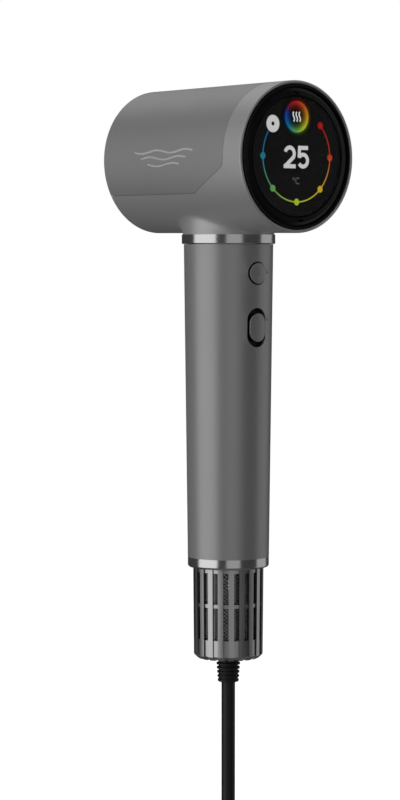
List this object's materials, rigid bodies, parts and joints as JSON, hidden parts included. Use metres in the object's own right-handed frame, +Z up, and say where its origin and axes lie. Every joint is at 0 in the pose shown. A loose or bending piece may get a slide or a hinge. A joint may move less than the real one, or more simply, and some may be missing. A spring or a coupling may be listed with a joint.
{
  "type": "hair dryer",
  "caption": "Handheld hair dryer: round barrel head with a lit round display on its closed end, slim tapered handle with button and slide switch, ribbed pull-off intake cage and mains cord.",
  "frame": {"origin": "on the handle's axis at the middle of the grip, where a hand or a holder takes the dryer", "axes": "+Z up along the handle towards the head, +Y the way the air leaves, -Y the side of the display and the switches, +X to the right when looking at the display"},
  "size_m": [0.072, 0.1033, 0.5941],
  "materials": {
    "body_paint": "satin metallic grey",
    "panel_paint": "satin metallic dark grey",
    "handle_metal": "satin anodised dark grey",
    "chrome": "polished",
    "black_satin": "satin black",
    "dark_plastic": "matt dark grey",
    "display_glass": "polished tinted glass",
    "screen": "lit screen",
    "switch_metal": "satin anodised grey",
    "cage_metal": "satin metallic light grey",
    "mesh_steel": "etched steel screen",
    "steel": "bright steel",
    "magnet": "nickel plated",
    "circuit_board": "green solder mask",
    "component_black": "moulded black",
    "frame_plastic": "moulded grey",
    "duct_plastic": "moulded heat-resistant plastic",
    "mica": "mica sheet",
    "heater_wire": "resistance wire",
    "copper": "enamelled copper",
    "motor_aluminium": "machined",
    "stator_steel": "laminated steel",
    "capacitor_sleeve": "plain blue sleeve",
    "impeller_alloy": "machined",
    "rubber_black": "matt rubber",
    "cord_rubber": "matt extruded jacket",
    "tie_fabric": "hook-and-loop tape",
    "plug_plastic": "moulded black",
    "lead_insulation": "insulated leads",
    "plug_brass": "nickel-plated brass"
  },
  "bodies": {
    "root": {"head_shell": "body_paint", "head_cover": "panel_paint", "collar_ring": "chrome", "neck_joint": "black_satin", "display_bezel": "black_satin", "display_glass": "display_glass", "display_panel": "screen", "display_board": "circuit_board", "display_carrier": "frame_plastic", "bezel_screws": "steel", "air_duct": "duct_plastic", "heater_sleeve": "mica", "heater_frame": "mica", "heater_coil": "heater_wire", "thermal_cutout": "component_black", "ion_generator": "component_black", "outlet_ring": "dark_plastic", "nozzle_magnets": "magnet", "outlet_grille": "dark_plastic", "handle_tube": "handle_metal", "tact_switch": "component_black", "slide_switch": "component_black", "control_board": "circuit_board", "board_parts": "component_black", "switch_frame": "frame_plastic", "power_board": "circuit_board", "filter_capacitor": "capacitor_sleeve", "choke_coil": "copper", "heater_triac": "component_black", "motor_mount": "rubber_black", "motor_housing": "motor_aluminium", "motor_end_cap": "motor_aluminium", "motor_bearings": "steel", "stator_core": "stator_steel", "stator_coils": "copper", "lower_ring": "chrome", "intake_core": "frame_plastic", "frame_screws": "steel", "mesh_screen": "mesh_steel", "latch_plate": "steel", "strain_relief": "rubber_black", "cord_clamp": "frame_plastic", "mains_leads": "lead_insulation", "cord_lead": "cord_rubber", "cord_hank": "cord_rubber", "hank_tie": "tie_fabric", "cord_tail": "cord_rubber", "plug_relief": "rubber_black", "plug_body": "plug_plastic", "plug_pins": "plug_brass"},
    "power_button": {"power_button": "switch_metal"},
    "slider": {"slider_knob": "switch_metal", "slider_carrier": "dark_plastic"},
    "filter_cage": {"filter_cage": "cage_metal", "cage_magnets": "magnet"},
    "rotor": {"motor_shaft": "steel", "rotor_magnet": "magnet", "impeller": "impeller_alloy"}
  },
  "joints": [
    {"name": "button_press", "type": "slide", "parent": "root", "child": "power_button", "axis": [0, 1, 0], "range_m": [0, 0.0008], "stiffness_N_per_m": 1200, "springref_m": -0.0008},
    {"name": "switch_slide", "type": "slide", "parent": "root", "child": "slider", "axis": [0, 0, 1], "range_m": [-0.0025, 0.0025]},
    {"name": "cage_pull", "type": "slide", "parent": "root", "child": "filter_cage", "axis": [0, 0, -1], "range_m": [0, 0.05]},
    {"name": "rotor_spin", "type": "hinge", "parent": "root", "child": "rotor", "pos_m": [0, 0, -0.045], "axis": [0, 0, 1], "continuous": true}
  ]
}
